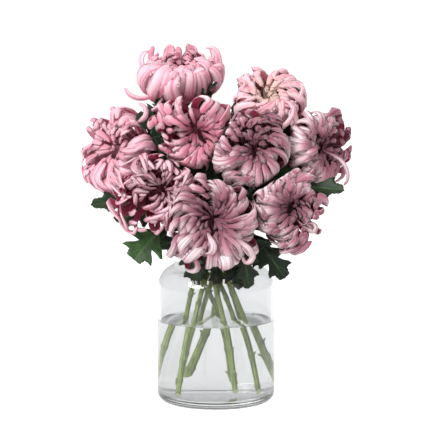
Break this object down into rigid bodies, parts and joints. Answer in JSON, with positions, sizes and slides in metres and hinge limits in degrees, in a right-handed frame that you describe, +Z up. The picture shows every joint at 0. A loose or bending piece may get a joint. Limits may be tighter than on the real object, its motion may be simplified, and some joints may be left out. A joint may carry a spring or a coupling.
{
  "type": "chrysanthemums in a jar",
  "caption": "Bouquet of full pink chrysanthemums with lobed green leaves, standing in water in a clear shouldered glass jar.",
  "frame": {"origin": "centre of the jar's flat underside, on the jar's axis", "axes": "+Z up along the jar's axis; the flowers' fullest side faces -Y; +X to that side's right"},
  "size_m": [0.3397, 0.2321, 0.4481],
  "materials": {
    "jar_glass": "clear, polished",
    "water": "clear, still",
    "petals_pale": "soft satin",
    "petals_mid": "soft satin",
    "petals_mauve": "soft satin",
    "greenery": "satin"
  },
  "bodies": {
    "root": {"jar": "jar_glass", "water": "water", "bloom_1": "petals_pale", "stem_1": "greenery", "bloom_2": "petals_pale", "stem_2": "greenery", "bloom_3": "petals_mid", "stem_3": "greenery", "bloom_4": "petals_mauve", "stem_4": "greenery", "bloom_5": "petals_mauve", "stem_5": "greenery", "bloom_6": "petals_mauve", "stem_6": "greenery", "bloom_7": "petals_mauve", "stem_7": "greenery", "bloom_8": "petals_pale", "stem_8": "greenery", "bloom_9": "petals_mauve", "stem_9": "greenery"}
  },
  "joints": []
}
